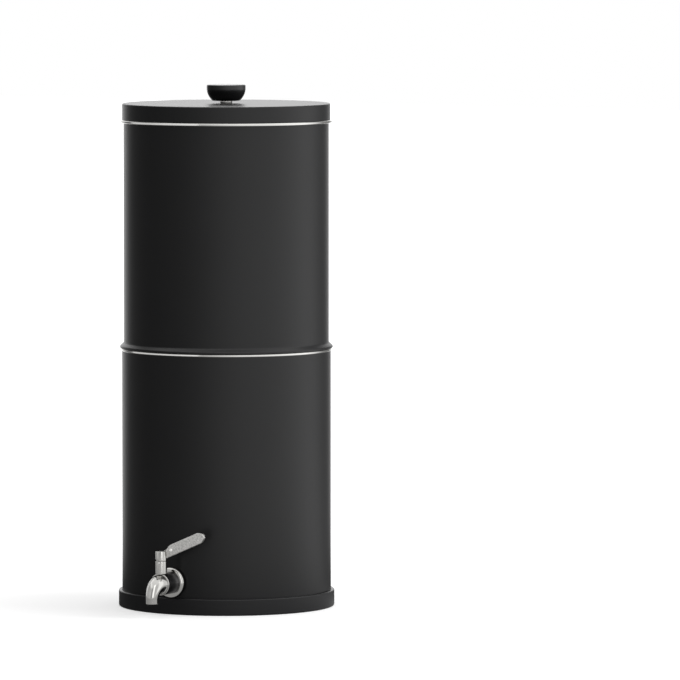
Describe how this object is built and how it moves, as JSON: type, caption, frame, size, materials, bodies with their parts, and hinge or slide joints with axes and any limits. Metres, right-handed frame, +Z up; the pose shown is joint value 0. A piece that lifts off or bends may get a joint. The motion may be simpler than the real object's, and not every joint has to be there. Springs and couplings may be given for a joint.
{
  "type": "gravity water filter with tap",
  "caption": "Tall round gravity water filter: two stacked black steel chambers with bright hoops, a lid with a knob, carbon filter elements inside and a steel lever tap.",
  "frame": {"origin": "bottom centre of the whole object's box, on the surface it stands on", "axes": "+Z up along the tank, -Y out of the tank along the tap, +X towards the shut lever's end"},
  "size_m": [0.219, 0.2604, 0.5291],
  "materials": {
    "black_coat": "satin",
    "black_moulded": "satin",
    "black_gloss": "gloss",
    "steel": "polished",
    "seal_rubber": "matte",
    "white_silicone": "satin",
    "white_ptfe": "satin",
    "carbon": "matte"
  },
  "bodies": {
    "lower_unit": {"base_ring": "black_moulded", "lower_chamber": "black_coat", "lower_rim": "steel", "tap_shank": "steel", "tap_body": "steel", "outer_washer": "seal_rubber", "inner_washer": "seal_rubber", "lock_nut": "steel", "rear_seat": "white_ptfe", "front_seat": "white_ptfe", "bonnet": "steel", "stem_packing": "white_ptfe", "gland_nut": "steel", "gland_pin": "steel"},
    "upper_unit": {"upper_chamber": "black_coat", "upper_rim": "steel", "carbon_block_left": "carbon", "closed_cap_left": "black_gloss", "outlet_cap_left": "black_gloss", "stem_seal_left": "white_silicone", "carbon_block_right": "carbon", "closed_cap_right": "black_gloss", "outlet_cap_right": "black_gloss", "stem_seal_right": "white_silicone"},
    "lid": {"lid_shell": "black_coat", "lid_knob": "black_gloss", "knob_spacer": "steel", "knob_screw": "steel"},
    "tap_lever": {"valve_ball": "steel", "valve_stem": "steel", "valve_cap": "steel", "cap_screw": "steel", "lever": "steel", "lever_rivet": "steel"},
    "nut_left": {"wing_nut_left": "black_moulded"},
    "nut_right": {"wing_nut_right": "black_moulded"}
  },
  "joints": [
    {"name": "upper_lift", "type": "slide", "parent": "lower_unit", "child": "upper_unit", "axis": [0, 0, 1], "range_m": [0, 0.09]},
    {"name": "lid_lift", "type": "slide", "parent": "upper_unit", "child": "lid", "axis": [0, 0, 1], "range_m": [0, 0.06]},
    {"name": "lever_turn", "type": "hinge", "parent": "lower_unit", "child": "tap_lever", "pos_m": [0, -0.10641, 0.0607], "axis": [0, 0, -1], "range_deg": [0, 90]},
    {"name": "nut_left_turn", "type": "hinge", "parent": "upper_unit", "child": "nut_left", "pos_m": [-0.048, 0.02069, 0.235], "axis": [0, 0, 1], "continuous": true},
    {"name": "nut_right_turn", "type": "hinge", "parent": "upper_unit", "child": "nut_right", "pos_m": [0.048, 0.02069, 0.235], "axis": [0, 0, 1], "continuous": true}
  ]
}
